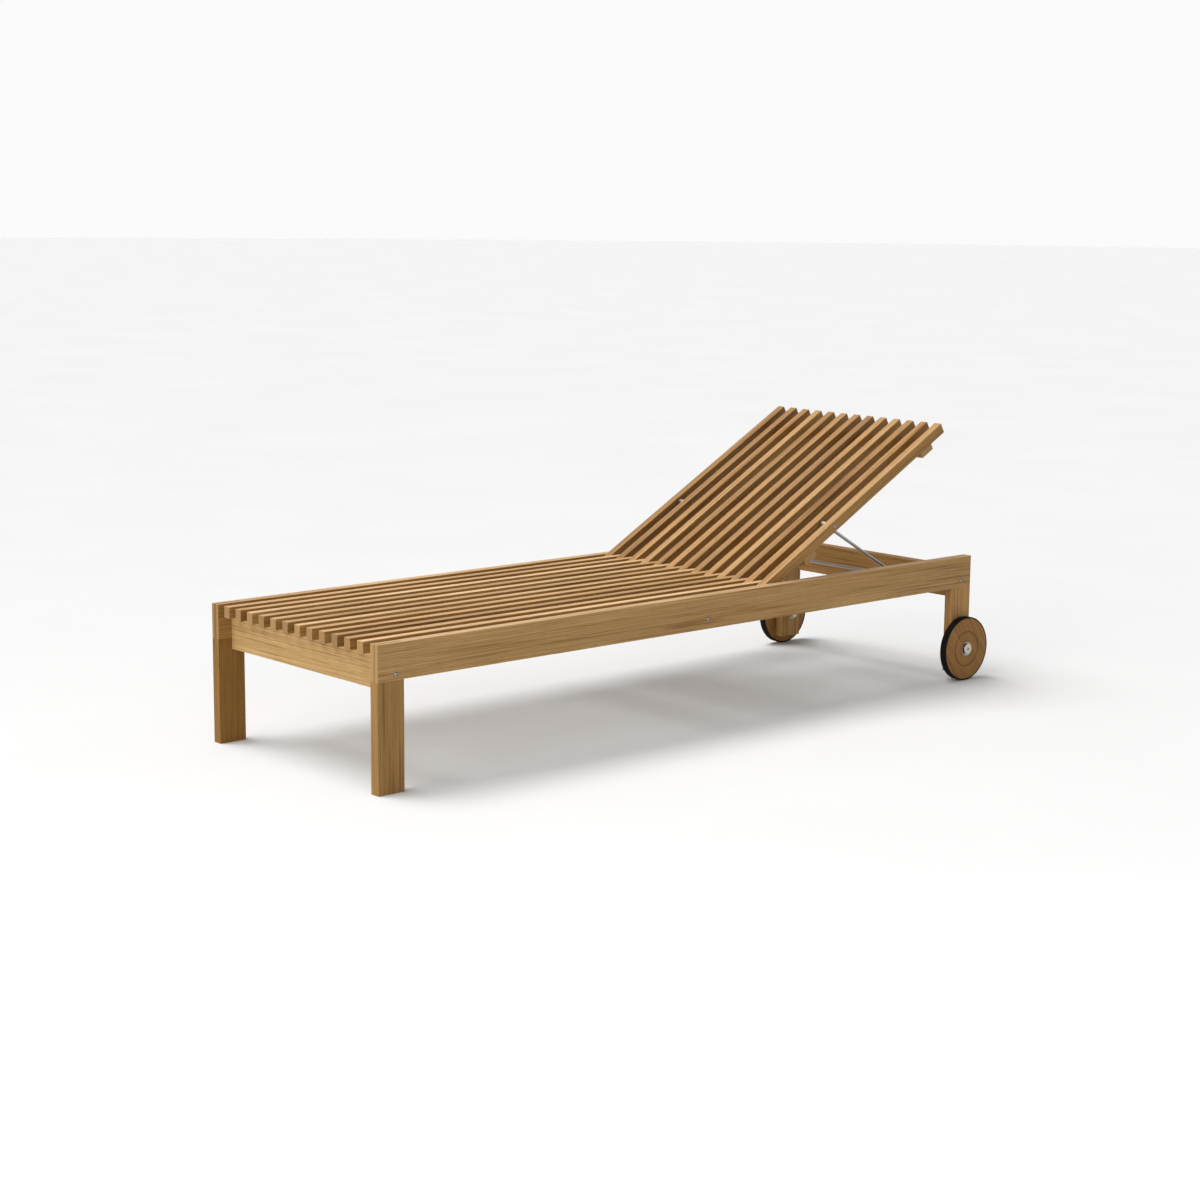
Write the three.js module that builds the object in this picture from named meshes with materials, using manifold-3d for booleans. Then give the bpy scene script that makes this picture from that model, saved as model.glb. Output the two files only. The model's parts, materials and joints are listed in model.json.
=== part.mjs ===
// Reclining wooden sun lounger, millimetres, +Z up.
// X runs across the bed, Y along it: the foot end is at -Y and the head end, with the wheels, at +Y.
// The origin is on the floor, in the middle of the overall length and width.

import * as THREE from 'three';
import { mergeVertices } from 'three/addons/utils/BufferGeometryUtils.js';
import Module from 'manifold-3d';

const wasm = await Module();
wasm.setup();

// ---- Driving dimensions ---------------------------------------------------------------

// Bed frame
const bedLength = 2000;            // rail end to rail end
const bedWidth = 665;              // over the outer faces of the side rails
const seatHeight = 340;            // floor to the tops of the rails and slats
const stockThickness = 26.5;       // rails, legs and cross members are cut from the same board
const railHeight = 84;
const legWidth = 72;
const rearLegLift = 25.5;          // floor to the foot of the rear legs, which the wheels carry
const middleSupportHeight = 56;

// Distances along the bed
const frontApronCentre = 50;       // from the foot end of the rails
const middleSupportToHinge = 231;
const rearApronFromHead = 39;      // from the head end of the rails
const wheelFromHead = 31;

// Heights of the frame bolts above the rails' lower edge
const frontBoltRise = 13;
const middleBoltRise = 24;
const rearBoltRise = 19;

// Slats
const seatSlatCount = 12;          // the backrest has one more, so that it closes both sides
const slatSpace = 2.77;            // between neighbouring slats at the hinge, and to the rails
const slatHeight = 27.4;
const seatSlatPastHinge = 30;      // seat slats run on behind the hinge rod
const backSlatPastHinge = 30;      // back slats run on in front of it
const backSlatReach = 757;         // hinge rod to the top end of the backrest
const backHeadPlay = 8;            // top end of the flat backrest to the rails' head end
const battenWidth = 46;
const battenThickness = 18;
const battenInset = 3;             // batten end to the outer face of the outermost back slat
const lowerBattenCentre = 172.5;   // from the hinge rod, along the backrest
const upperBattenCentre = 679;
const backAngle = 29;              // degrees above flat, at rest

// Hinge rod
const hingeRodRadius = 4;
const hingeRodInRail = 12;

// Prop: a welded steel bail under the backrest, and the notched racks it drops into
const propPivotReach = 284.5;      // hinge rod to the prop's pivot, along the backrest
const propArmLength = 332;         // pivot to cross bar
const propRodRadius = 4.25;
const propBarBelowSeat = 41.3;     // rail top to the cross bar's centre, at rest
const propEyeRadius = 8.5;
const propEyePlay = 3.6;           // each side of the eye, between two back slats
const propBoltRadius = 3.5;
const propHeadRadius = 5.6;
const propHeadHeight = 1.8;
const propNutAcrossFlats = 10;
const propNutHeight = 6;
const notchPitch = 44;
const notchesBehindRest = 1;
const notchesBeforeRest = 3;
const notchPlay = 0.8;             // notch radius over the cross bar's
const rackLedgeWidth = 30;
const rackTeethWidth = 18;
const rackHeight = 32;             // foot of the strip to its ledge
const rackToothHeight = 10;        // ledge to tooth top
const rackEndPlay = 0.7;           // cross bar end to the teeth

// Wheels
const wheelRadius = 87.6;
const wheelWidth = 19.6;
const tyreThickness = 3.4;
const wheelStandoff = 1.5;         // leg to wheel, taken up by a low boss on the wheel
const wheelBossRadius = 20;
const grooveRadius = 47;
const grooveWidth = 2.4;
const grooveDepth = 1.6;
const axleRadius = 5;
const axleHeadRadius = 15;
const axleHeadHeight = 4;
const axlePastNut = 3;
const hubWasherRadius = 19.3;
const hubWasherThickness = 1.6;
const axleNutAcrossFlats = 17;
const axleNutHeight = 8;
const axleFlangeRadius = 12;
const axleFlangeThickness = 1.6;

// Frame bolts
const boltRadius = 3;
const boltHeadRadius = 5.5;
const boltHeadHeight = 3;
const boltInEndGrain = 38;
const socketAcrossFlats = 4;
const socketDepth = 1.6;

// Clearances and resolution
const gap = 0.3;                   // between pieces that touch
const boreClearance = 0.35;        // radial, around every rod and bolt
const roundSegments = 16;
const wheelSegments = 48;

// ---- Derived places -------------------------------------------------------------------

const hingeCentre = bedLength - backHeadPlay - backSlatReach;
const middleSupportCentre = hingeCentre - middleSupportToHinge;
const rearApronCentre = bedLength - rearApronFromHead;
const wheelCentre = bedLength - wheelFromHead;
const overallLength = wheelCentre + wheelRadius;
const footY = -overallLength / 2;
const railX = (bedWidth - stockThickness) / 2;
const railInnerX = bedWidth / 2 - stockThickness;
const railBottom = seatHeight - railHeight;
const tenonThickness = stockThickness / 3;
const slatBottom = seatHeight - slatHeight;
const memberTop = slatBottom - gap;
const memberLength = 2 * (railInnerX - gap);
const hingeHeight = seatHeight - slatHeight / 2;
const frontBoltHeight = railBottom + frontBoltRise;
const middleBoltHeight = railBottom + middleBoltRise;
const rearBoltHeight = railBottom + rearBoltRise;

const backSlatCount = seatSlatCount + 1;
const slatPlaces = seatSlatCount + backSlatCount;
const slatWidth = (2 * railInnerX - (slatPlaces + 1) * slatSpace) / slatPlaces;
const slatX = (place) => -railInnerX + slatSpace + slatWidth / 2 + place * (slatWidth + slatSpace);
const seatSlatX = (index) => slatX(2 * index + 1);
const backSlatX = (index) => slatX(2 * index);
const backEdgeX = backSlatX(backSlatCount - 1) + slatWidth / 2;

// The prop's arms run in the gaps beside the outermost back slats, where the outermost seat slats lie.
const propArmX = seatSlatX(seatSlatCount - 1);
const propNutX = backSlatX(backSlatCount - 2) - slatWidth / 2;
const propEyeWidth = slatWidth + 2 * (slatSpace - propEyePlay);

const radians = THREE.MathUtils.degToRad;
const propBarHeight = seatHeight - propBarBelowSeat;
const backRise = propPivotReach * Math.sin(radians(backAngle));
const propDip = Math.asin((hingeHeight + backRise - propBarHeight) / propArmLength);
const propRest = radians(backAngle) + propDip;    // angle between the backrest and the prop's arms

// Prop angle per degree of backrest angle that keeps the cross bar level through the rest pose
const propRatio = 1 + (propPivotReach * Math.cos(radians(backAngle))) / (propArmLength * Math.cos(propDip));

function crossBarAt(angle) {
  const turned = radians(angle);
  const dip = propRest + propRatio * (turned - radians(backAngle)) - turned;
  return {
    y: hingeCentre + propPivotReach * Math.cos(turned) + propArmLength * Math.cos(dip),
    z: hingeHeight + propPivotReach * Math.sin(turned) - propArmLength * Math.sin(dip),
  };
}

const restBar = crossBarAt(backAngle);
const frontNotchY = restBar.y - notchesBeforeRest * notchPitch;
const rackFrontY = frontNotchY - notchPitch / 2;
const rackRearY = restBar.y + (notchesBehindRest + 0.5) * notchPitch;
const rackX = railInnerX - gap;

// The ledge clears the lowest place that the cross bar passes over the rack.
function lowestBarOverRack() {
  let lowest = restBar.z;
  for (let angle = 0; angle <= 60; angle += 0.5) {
    const bar = crossBarAt(angle);
    const overRack = bar.y > frontNotchY - propRodRadius && bar.y < rackRearY + propRodRadius;
    lowest = overRack ? Math.min(lowest, bar.z) : lowest;
  }
  return lowest;
}
const rackLedge = lowestBarOverRack() - propRodRadius - gap;
const propBarHalfLength = rackX - rackTeethWidth - rackEndPlay;

const wheelInnerX = bedWidth / 2 + wheelStandoff;
const wheelOuterX = wheelInnerX + wheelWidth;

// ---- Materials ------------------------------------------------------------------------

const teak = () => new THREE.MeshStandardMaterial({ color: 0xb88d55, roughness: 0.65, metalness: 0 });
const paleTeak = () => new THREE.MeshStandardMaterial({ color: 0xcaa068, roughness: 0.65, metalness: 0 });
const steel = () => new THREE.MeshStandardMaterial({ color: 0xc6c4be, roughness: 0.35, metalness: 1 });
const rubber = () => new THREE.MeshStandardMaterial({ color: 0x19191b, roughness: 0.9, metalness: 0 });

// ---- Solid helpers --------------------------------------------------------------------

function toSolid(geometry) {
  const bare = geometry.clone();
  bare.deleteAttribute('normal');
  bare.deleteAttribute('uv');
  const merged = mergeVertices(bare, 1e-4);
  return new wasm.Manifold(new wasm.Mesh({
    numProp: 3,
    vertProperties: new Float32Array(merged.attributes.position.array),
    triVerts: new Uint32Array(merged.index.array),
  }));
}

function toGeometry(solid) {
  const mesh = solid.getMesh();
  const geometry = new THREE.BufferGeometry();
  geometry.setAttribute('position', new THREE.BufferAttribute(new Float32Array(mesh.vertProperties), 3));
  geometry.setIndex(new THREE.BufferAttribute(new Uint32Array(mesh.triVerts), 1));
  return geometry;
}

function cut(geometry, tools) {
  return toGeometry(tools.reduce((solid, tool) => solid.subtract(toSolid(tool)), toSolid(geometry)));
}

function join(pieces) {
  return toGeometry(pieces.map(toSolid).reduce((solid, piece) => solid.add(piece)));
}

function outline(points) {
  return new THREE.Shape(points.map(([a, b]) => new THREE.Vector2(a, b)));
}

// A side view outline, y and z, extruded along X and centred on x = 0
function extrudeAcross(shape, width, curveSegments = roundSegments / 4) {
  const geometry = new THREE.ExtrudeGeometry(shape, { depth: width, bevelEnabled: false, curveSegments });
  geometry.translate(0, 0, -width / 2);
  const turn = new THREE.Matrix4().makeBasis(
    new THREE.Vector3(0, 1, 0), new THREE.Vector3(0, 0, 1), new THREE.Vector3(1, 0, 0));
  return geometry.applyMatrix4(turn);
}

// A front view outline, x and z, extruded from y = 0 towards +Y
function extrudeBack(shape, depth) {
  const geometry = new THREE.ExtrudeGeometry(shape, { depth, bevelEnabled: false });
  return geometry.rotateX(Math.PI / 2).translate(0, depth, 0);
}

// A cylinder along X that starts at x = from and ends at x = to
function rodAcross(radius, from, to, y = 0, z = 0, segments = roundSegments) {
  const geometry = new THREE.CylinderGeometry(radius, radius, Math.abs(to - from), segments);
  return geometry.rotateZ(Math.PI / 2).translate((from + to) / 2, y, z);
}

function hexAcross(acrossFlats, from, to) {
  return rodAcross(acrossFlats / Math.sqrt(3), from, to, 0, 0, 6);
}

// A profile of [x, radius] points, from the axis and back to it or closed on itself, turned about X
function turned(profile, segments = roundSegments) {
  const points = profile.map(([x, radius]) => new THREE.Vector2(radius, x));
  return new THREE.LatheGeometry(points, segments).rotateZ(-Math.PI / 2);
}

// ---- Scene helpers --------------------------------------------------------------------

const lounger = new THREE.Group();

function place(parent, name, geometry, material, x, y, z) {
  const mesh = new THREE.Mesh(geometry, material);
  mesh.name = name;
  mesh.position.set(x, y, z);
  parent.add(mesh);
  return mesh;
}

// Sides are named for somebody lying with the head on the backrest: their left is +X.
const sides = [{ name: 'left', sign: 1 }, { name: 'right', sign: -1 }];
const twoDigits = (index) => String(index + 1).padStart(2, '0');

// Distances from the foot end and the floor go straight into this group.
const frame = new THREE.Group();
frame.position.y = footY;
lounger.add(frame);

const frameBolts = [
  { name: 'front', y: frontApronCentre, z: frontBoltHeight },
  { name: 'middle', y: middleSupportCentre, z: middleBoltHeight },
  { name: 'rear', y: rearApronCentre, z: rearBoltHeight },
];
const boltHole = boltRadius + boreClearance;

// ---- Side rails -----------------------------------------------------------------------

// Each end is forked to take the leg's tenon.
function railGeometry(sign) {
  const half = stockThickness / 2;
  const slot = tenonThickness / 2 + gap;
  const slotEnd = legWidth + gap;
  const shape = outline([
    [-half, 0], [-slot, 0], [-slot, slotEnd], [slot, slotEnd], [slot, 0], [half, 0],
    [half, bedLength], [slot, bedLength], [slot, bedLength - slotEnd],
    [-slot, bedLength - slotEnd], [-slot, bedLength], [-half, bedLength],
  ]);
  const rail = new THREE.ExtrudeGeometry(shape, { depth: railHeight, bevelEnabled: false });
  const boltHoles = frameBolts.map(({ y, z }) => (
    rodAcross(boltHole, -stockThickness, stockThickness, y, z - railBottom)));
  const rodMouth = -sign * stockThickness;
  const rodFloor = sign * (hingeRodInRail + gap - half);
  const hingeBore = rodAcross(hingeRodRadius + boreClearance, rodMouth, rodFloor,
    hingeCentre, hingeHeight - railBottom);
  return cut(rail, [...boltHoles, hingeBore]);
}

for (const { name, sign } of sides) {
  place(frame, `rail_${name}`, railGeometry(sign), teak(), sign * railX, 0, railBottom);
}

// ---- Legs -----------------------------------------------------------------------------

// The middle third runs up through the forked rail end and finishes flush with its top.
function legGeometry(foot) {
  const half = stockThickness / 2;
  const tenon = tenonThickness / 2;
  const shoulder = railBottom - gap;
  const shape = outline([
    [-half, foot], [half, foot], [half, shoulder], [tenon, shoulder],
    [tenon, seatHeight], [-tenon, seatHeight], [-tenon, shoulder], [-half, shoulder],
  ]);
  return extrudeBack(shape, legWidth);
}

function frontLeg() {
  const hole = rodAcross(boltHole, -stockThickness, stockThickness, frontApronCentre, frontBoltHeight);
  return cut(legGeometry(0), [hole]);
}

function rearLeg() {
  const start = bedLength - legWidth;
  const boltCut = rodAcross(boltHole, -stockThickness, stockThickness,
    rearApronCentre - start, rearBoltHeight);
  const axleCut = rodAcross(axleRadius + boreClearance, -stockThickness, stockThickness,
    wheelCentre - start, wheelRadius);
  return cut(legGeometry(rearLegLift), [boltCut, axleCut]);
}

for (const { name, sign } of sides) {
  place(frame, `leg_front_${name}`, frontLeg(), teak(), sign * railX, 0, 0);
  place(frame, `leg_rear_${name}`, rearLeg(), teak(), sign * railX, bedLength - legWidth, 0);
}

// ---- Cross members --------------------------------------------------------------------

// A board between the rails, its top just under the slats, drilled in both ends for the frame bolts
function memberGeometry(height, boltHeight) {
  const board = new THREE.BoxGeometry(memberLength, stockThickness, height);
  const boltZ = boltHeight - (memberTop - height / 2);
  const holeDepth = boltInEndGrain + 2;
  const holes = sides.map(({ sign }) => rodAcross(boltHole,
    sign * (memberLength / 2 - holeDepth), sign * (memberLength / 2 + 1), 0, boltZ));
  return cut(board, holes);
}

function placeMember(name, y, height, boltHeight) {
  place(frame, name, memberGeometry(height, boltHeight), teak(), 0, y, memberTop - height / 2);
}

placeMember('apron_front', frontApronCentre, railHeight, frontBoltHeight);
placeMember('support_middle', middleSupportCentre, middleSupportHeight, middleBoltHeight);
placeMember('apron_rear', rearApronCentre, railHeight, rearBoltHeight);

// ---- Frame bolts ----------------------------------------------------------------------

// A button head with a hexagon socket; x = 0 is the rail's outer face and the shank runs towards -X.
function frameBolt() {
  const shankEnd = -(stockThickness + boltInEndGrain);
  const bolt = turned([
    [shankEnd, 0], [shankEnd, boltRadius], [gap, boltRadius], [gap, boltHeadRadius],
    [gap + boltHeadHeight * 0.35, boltHeadRadius], [gap + boltHeadHeight * 0.8, boltHeadRadius * 0.75],
    [gap + boltHeadHeight, boltHeadRadius * 0.45], [gap + boltHeadHeight, 0],
  ]);
  const top = gap + boltHeadHeight;
  return cut(bolt, [hexAcross(socketAcrossFlats, top - socketDepth, top + 1)]);
}

for (const { name: station, y, z } of frameBolts) {
  for (const { name, sign } of sides) {
    const bolt = place(frame, `bolt_${station}_${name}`, frameBolt(), steel(), sign * bedWidth / 2, y, z);
    bolt.rotation.z = sign > 0 ? 0 : Math.PI;
  }
}

// ---- Seat slats -----------------------------------------------------------------------

function slatGeometry(from, to, holes) {
  const half = slatHeight / 2;
  const shape = outline([[from, -half], [to, -half], [to, half], [from, half]]);
  for (const { at, radius } of holes) {
    shape.holes.push(new THREE.Path().absarc(at, 0, radius + boreClearance, 0, 2 * Math.PI, true));
  }
  return extrudeAcross(shape, slatWidth, roundSegments / 2);
}

const hingeHole = { at: 0, radius: hingeRodRadius };
for (let index = 0; index < seatSlatCount; index += 1) {
  const slat = slatGeometry(-hingeCentre, seatSlatPastHinge, [hingeHole]);
  place(frame, `seat_slat_${twoDigits(index)}`, slat, paleTeak(),
    seatSlatX(index), hingeCentre, hingeHeight);
}

// ---- Hinge rod ------------------------------------------------------------------------

const hingeRodEnd = railInnerX + hingeRodInRail;
place(frame, 'hinge_rod', rodAcross(hingeRodRadius, -hingeRodEnd, hingeRodEnd), steel(),
  0, hingeCentre, hingeHeight);

// ---- Backrest -------------------------------------------------------------------------

// The group's origin is the hinge rod; its +Y runs up the backrest.
const backrest = new THREE.Group();
backrest.position.set(0, hingeCentre, hingeHeight);
backrest.rotation.x = radians(backAngle);
frame.add(backrest);

const propHole = { at: propPivotReach, radius: propBoltRadius };
for (let index = 0; index < backSlatCount; index += 1) {
  const besideProp = index < 2 || index > backSlatCount - 3;
  const holes = besideProp ? [hingeHole, propHole] : [hingeHole];
  const slat = slatGeometry(-backSlatPastHinge, backSlatReach, holes);
  place(backrest, `back_slat_${twoDigits(index)}`, slat, paleTeak(), backSlatX(index), 0, 0);
}

const battenLength = 2 * (backEdgeX - battenInset);
const battenZ = -(slatHeight + battenThickness) / 2 - gap;
for (const [name, y] of [['batten_lower', lowerBattenCentre], ['batten_upper', upperBattenCentre]]) {
  const board = new THREE.BoxGeometry(battenLength, battenWidth, battenThickness);
  place(backrest, name, board, teak(), 0, y, battenZ);
}

// ---- Prop pivots ----------------------------------------------------------------------

// A low domed head on the outer back slat, and a nut on the inner face of the next one
function propBolt() {
  const shankEnd = propNutX - propNutHeight - backEdgeX;
  return turned([
    [shankEnd, 0], [shankEnd, propBoltRadius], [gap, propBoltRadius], [gap, propHeadRadius],
    [gap + propHeadHeight * 0.3, propHeadRadius], [gap + propHeadHeight, propHeadRadius * 0.55],
    [gap + propHeadHeight, 0],
  ]);
}

function propNut() {
  const nut = hexAcross(propNutAcrossFlats, -gap, -gap - propNutHeight);
  return cut(nut, [rodAcross(propBoltRadius + boreClearance, 0, -propNutHeight - 1)]);
}

for (const { name, sign } of sides) {
  const bolt = place(backrest, `prop_bolt_${name}`, propBolt(), steel(), sign * backEdgeX, propPivotReach, 0);
  const nut = place(backrest, `prop_nut_${name}`, propNut(), steel(), sign * propNutX, propPivotReach, 0);
  bolt.rotation.z = sign > 0 ? 0 : Math.PI;
  nut.rotation.z = bolt.rotation.z;
}

// ---- Prop bail ------------------------------------------------------------------------

// Two arms with eyes on the pivot bolts, welded to one cross bar; +Y runs down the arms.
function propBail() {
  const eyes = [];
  const arms = [];
  const bores = [];
  for (const { sign } of sides) {
    const x = sign * propArmX;
    const armStart = (propEyeRadius + propBoltRadius) / 2;
    const arm = new THREE.CylinderGeometry(propRodRadius, propRodRadius, propArmLength - armStart, roundSegments);
    arms.push(arm.translate(x, (propArmLength + armStart) / 2, 0));
    eyes.push(rodAcross(propEyeRadius, x - propEyeWidth / 2, x + propEyeWidth / 2));
    bores.push(rodAcross(propBoltRadius + boreClearance, x - propEyeWidth, x + propEyeWidth));
  }
  const bar = rodAcross(propRodRadius, -propBarHalfLength, propBarHalfLength, propArmLength);
  return cut(join([bar, ...arms, ...eyes]), bores);
}

const prop = new THREE.Group();
prop.position.set(0, propPivotReach, 0);
prop.rotation.x = -propRest;
backrest.add(prop);
place(prop, 'prop_bail', propBail(), steel(), 0, 0, 0);

// ---- Racks ----------------------------------------------------------------------------

// A strip on each rail's inner face: a plain ledge under the cross bar, and teeth beside the bar's ends
function rackTeeth() {
  const radius = propRodRadius + notchPlay;
  const floor = restBar.z - radius - rackLedge;
  const ramp = notchPitch / 2 - radius;
  const shape = new THREE.Shape();
  shape.moveTo(rackFrontY, -rackHeight);
  shape.lineTo(rackRearY, -rackHeight);
  shape.lineTo(rackRearY, rackToothHeight);
  for (let notch = notchesBehindRest; notch >= -notchesBeforeRest; notch -= 1) {
    const y = restBar.y + notch * notchPitch;
    shape.lineTo(y + radius, rackToothHeight);
    shape.absarc(y, floor + radius, radius, 0, -Math.PI / 2, true);
    shape.lineTo(y - ramp, rackToothHeight);
  }
  shape.lineTo(rackFrontY, rackToothHeight);
  return extrudeAcross(shape, rackTeethWidth);
}

function rackGeometry(sign) {
  const length = rackRearY - rackFrontY;
  const ledge = new THREE.BoxGeometry(rackLedgeWidth, length, rackHeight);
  ledge.translate(-sign * rackLedgeWidth / 2, (rackFrontY + rackRearY) / 2, -rackHeight / 2);
  return join([ledge, rackTeeth().translate(-sign * rackTeethWidth / 2, 0, 0)]);
}

for (const { name, sign } of sides) {
  place(frame, `rack_${name}`, rackGeometry(sign), teak(), sign * rackX, 0, rackLedge);
}

// ---- Wheels ---------------------------------------------------------------------------

// x = 0 is the face against the leg's side; the boss bears on the leg, the groove is in the outer face.
function wheelDisc() {
  const bore = axleRadius + boreClearance;
  const rim = wheelRadius - tyreThickness - gap;
  const face = wheelStandoff + wheelWidth;
  const grooveFloor = face - grooveDepth;
  return turned([
    [gap, bore], [face, bore],
    [face, grooveRadius - grooveWidth / 2], [grooveFloor, grooveRadius - grooveWidth / 4],
    [grooveFloor, grooveRadius + grooveWidth / 4], [face, grooveRadius + grooveWidth / 2],
    [face, rim], [wheelStandoff, rim],
    [wheelStandoff, wheelBossRadius], [gap, wheelBossRadius], [gap, bore],
  ].reverse(), wheelSegments);
}

function tyre() {
  const inner = wheelRadius - tyreThickness;
  const start = wheelStandoff;
  const end = wheelStandoff + wheelWidth;
  const edge = tyreThickness / 3;
  return turned([
    [start, inner], [end, inner], [end, wheelRadius - edge], [end - edge, wheelRadius],
    [start + edge, wheelRadius], [start, wheelRadius - edge], [start, inner],
  ].reverse(), wheelSegments);
}

function hubWasher() {
  const start = wheelStandoff + wheelWidth + gap;
  const end = start + hubWasherThickness;
  const bore = axleRadius + boreClearance;
  return turned([
    [start, bore], [end, bore], [end, hubWasherRadius], [start, hubWasherRadius], [start, bore],
  ].reverse(), 2 * roundSegments);
}

// A wide, low head outside the washer; the shank passes through wheel, leg and nut.
function axleBolt() {
  const headStart = wheelStandoff + wheelWidth + hubWasherThickness + 2 * gap;
  const headTop = headStart + axleHeadHeight;
  const shankEnd = -(stockThickness + axleFlangeThickness + axleNutHeight + axlePastNut);
  const bolt = turned([
    [shankEnd, 0], [shankEnd, axleRadius], [headStart, axleRadius], [headStart, axleHeadRadius],
    [headStart + axleHeadHeight * 0.6, axleHeadRadius], [headTop, axleHeadRadius * 0.85], [headTop, 0],
  ], 2 * roundSegments);
  return cut(bolt, [hexAcross(socketAcrossFlats, headTop - socketDepth, headTop + 1)]);
}

// A hexagon nut with its flange on the inner face of the leg
function axleNut() {
  const start = -stockThickness - gap;
  const flangeEnd = start - axleFlangeThickness;
  const flange = rodAcross(axleFlangeRadius, start, flangeEnd, 0, 0, 2 * roundSegments);
  const nut = hexAcross(axleNutAcrossFlats, flangeEnd + axleFlangeThickness / 2, flangeEnd - axleNutHeight);
  const bore = rodAcross(axleRadius + boreClearance, 0, start - 2 * axleNutHeight, 0, 0, 2 * roundSegments);
  return cut(join([flange, nut]), [bore]);
}

for (const { name, sign } of sides) {
  const corner = new THREE.Group();
  corner.position.set(sign * bedWidth / 2, wheelCentre, wheelRadius);
  corner.rotation.z = sign > 0 ? 0 : Math.PI;
  frame.add(corner);
  place(corner, `wheel_${name}`, wheelDisc(), paleTeak(), 0, 0, 0);
  place(corner, `tyre_${name}`, tyre(), rubber(), 0, 0, 0);
  place(corner, `hub_washer_${name}`, hubWasher(), steel(), 0, 0, 0);
  place(corner, `axle_bolt_${name}`, axleBolt(), steel(), 0, 0, 0);
  place(corner, `axle_nut_${name}`, axleNut(), steel(), 0, 0, 0);
}

export default lounger;
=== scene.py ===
"""Looks for the reclining wooden sun lounger: grained timber, turned wheels and steel fittings."""

import json
import math

import bmesh
import bpy
from mathutils import Matrix, Vector


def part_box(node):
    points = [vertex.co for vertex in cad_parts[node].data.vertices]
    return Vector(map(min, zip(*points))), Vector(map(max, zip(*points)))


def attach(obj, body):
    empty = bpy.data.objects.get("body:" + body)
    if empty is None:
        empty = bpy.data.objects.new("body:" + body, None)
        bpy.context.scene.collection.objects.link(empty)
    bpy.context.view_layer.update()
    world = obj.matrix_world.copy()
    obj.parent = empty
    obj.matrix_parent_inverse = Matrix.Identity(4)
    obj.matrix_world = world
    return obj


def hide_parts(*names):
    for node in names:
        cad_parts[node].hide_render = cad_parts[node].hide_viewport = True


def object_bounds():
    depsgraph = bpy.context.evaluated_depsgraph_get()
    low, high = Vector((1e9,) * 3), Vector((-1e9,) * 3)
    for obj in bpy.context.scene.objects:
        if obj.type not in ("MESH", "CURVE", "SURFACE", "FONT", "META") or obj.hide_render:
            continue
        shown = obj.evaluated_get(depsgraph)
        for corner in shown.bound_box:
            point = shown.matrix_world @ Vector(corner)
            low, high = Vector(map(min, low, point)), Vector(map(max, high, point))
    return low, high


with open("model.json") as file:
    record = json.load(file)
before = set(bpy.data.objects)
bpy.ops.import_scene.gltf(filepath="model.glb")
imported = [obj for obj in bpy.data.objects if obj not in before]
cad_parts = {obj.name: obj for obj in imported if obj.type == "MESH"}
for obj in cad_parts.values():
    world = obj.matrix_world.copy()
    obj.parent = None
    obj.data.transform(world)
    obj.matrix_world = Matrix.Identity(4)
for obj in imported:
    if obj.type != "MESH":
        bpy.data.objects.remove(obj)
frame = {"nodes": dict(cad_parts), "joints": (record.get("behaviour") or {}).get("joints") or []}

MM = 0.001
cad_low, cad_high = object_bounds()

# ---- Places and sizes from the frame ---------------------------------------------------

NODES = frame["nodes"]
JOINTS = {joint["name"]: joint for joint in frame["joints"]}
HINGE = Vector(JOINTS["back_recline"]["pos_m"])
PROP_PIVOT = Vector(JOINTS["prop_swing"]["pos_m"])
BACK_TILT = math.radians(-JOINTS["back_recline"]["range_deg"][0])
UP_THE_BACK = Vector((0, math.cos(BACK_TILT), math.sin(BACK_TILT)))
OFF_THE_BACK = Vector((0, -math.sin(BACK_TILT), math.cos(BACK_TILT)))
SIDES = {"left": 1, "right": -1}
SEAT_SLATS = sorted(name for name in NODES if name.startswith("seat_slat_"))
BACK_SLATS = sorted(name for name in NODES if name.startswith("back_slat_"))
SLAT_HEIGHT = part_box(SEAT_SLATS[0])[1].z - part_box(SEAT_SLATS[0])[0].z
GAP = 0.3 * MM      # kept between pieces that would otherwise touch


def middle(node):
    low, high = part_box(node)
    return (low + high) / 2


def inner_face(node, sign):
    """The middle of a node's face on the side of the bed's middle."""
    low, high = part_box(node)
    centre = (low + high) / 2
    return Vector((low.x if sign > 0 else high.x, centre.y, centre.z))


def outer_x(node, sign):
    low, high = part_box(node)
    return high.x if sign > 0 else low.x


# ---- Node graph helpers ----------------------------------------------------------------


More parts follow.
